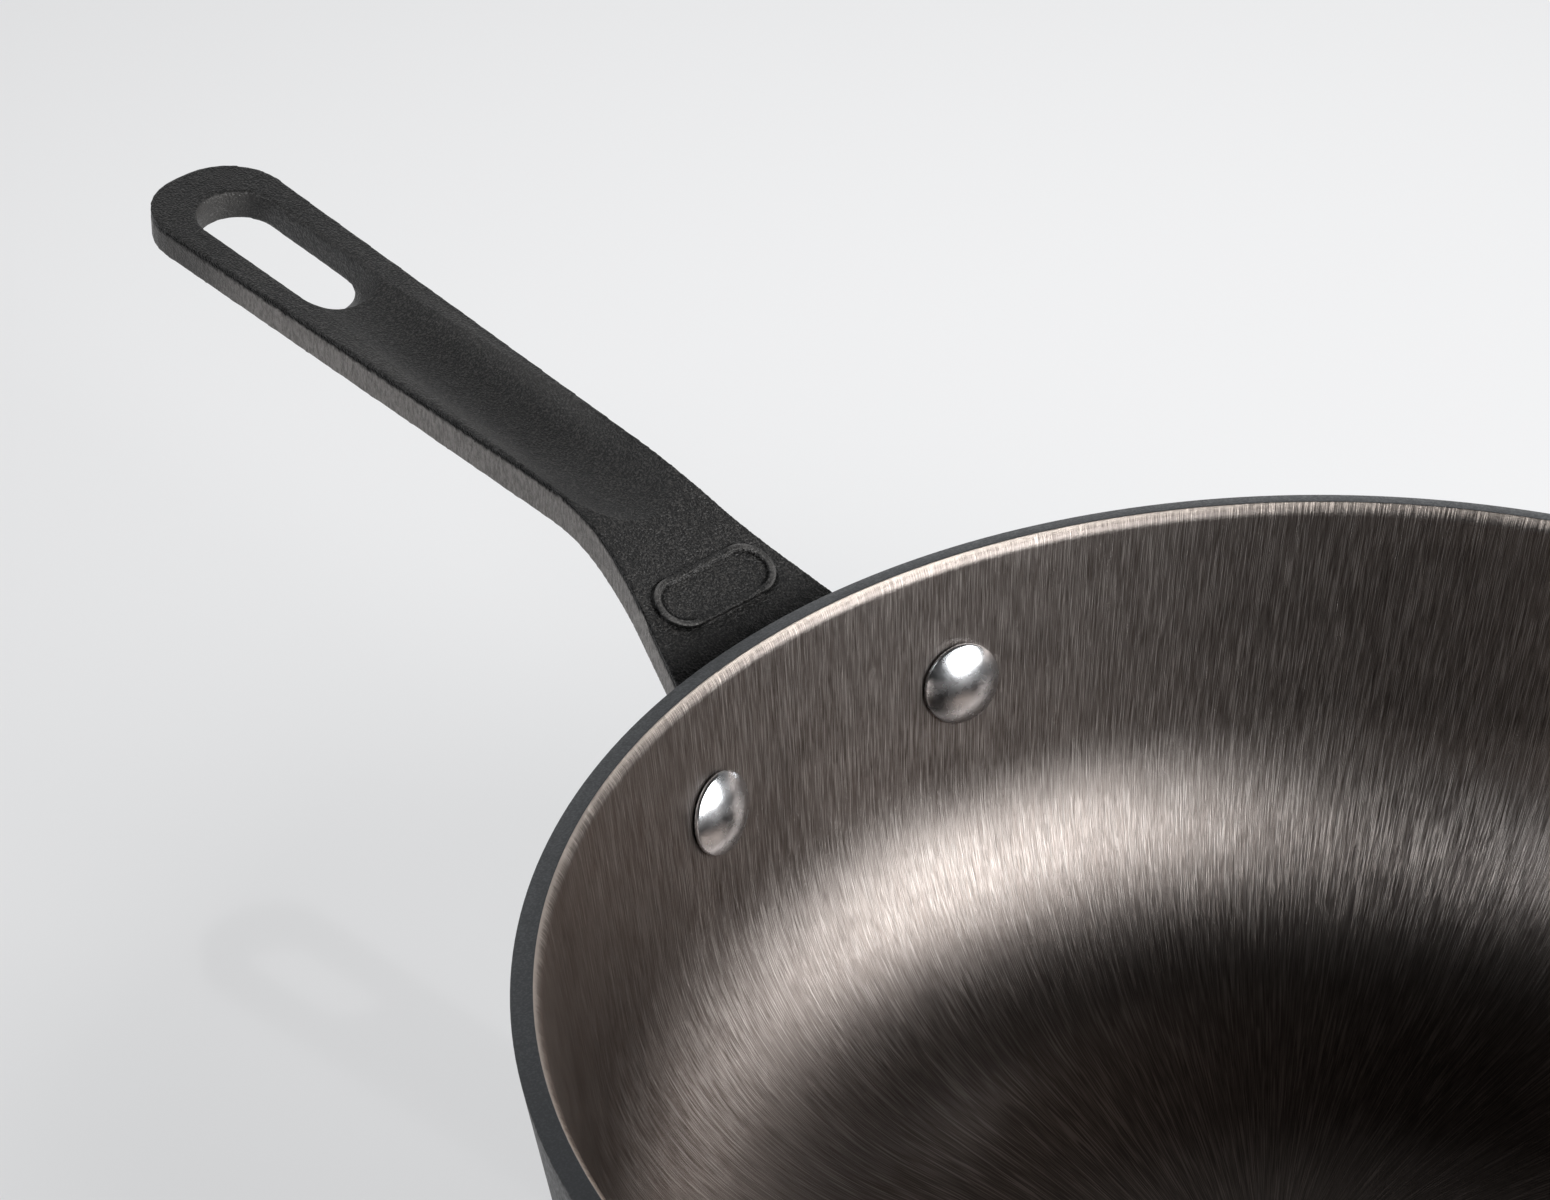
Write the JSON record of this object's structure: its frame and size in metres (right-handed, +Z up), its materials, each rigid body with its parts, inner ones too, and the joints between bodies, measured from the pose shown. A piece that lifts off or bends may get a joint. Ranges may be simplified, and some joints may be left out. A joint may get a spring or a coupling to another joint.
{
  "type": "deep skillet",
  "caption": "Deep round skillet with a flared wall, a ground inside, a polished rim and a long flat handle, riveted on through a yoke, with a slot for hanging it up.",
  "frame": {"origin": "centre of the flat base, on the surface that the pan stands on", "axes": "+Z up out of the pan's mouth, +X along the handle from the pan to its tip, +Y to the left of the handle seen from the pan"},
  "size_m": [0.4525, 0.28, 0.0912],
  "materials": {
    "pan_metal": "ground and brushed inside, dark and satin outside, polished bevel at the rim",
    "handle_iron": "fine cast grain, dark and oiled, with ground side faces",
    "rivet_steel": "polished domed heads"
  },
  "bodies": {
    "root": {"pan_body": "pan_metal", "handle": "handle_iron", "rivet_left": "rivet_steel", "rivet_right": "rivet_steel"}
  },
  "joints": []
}
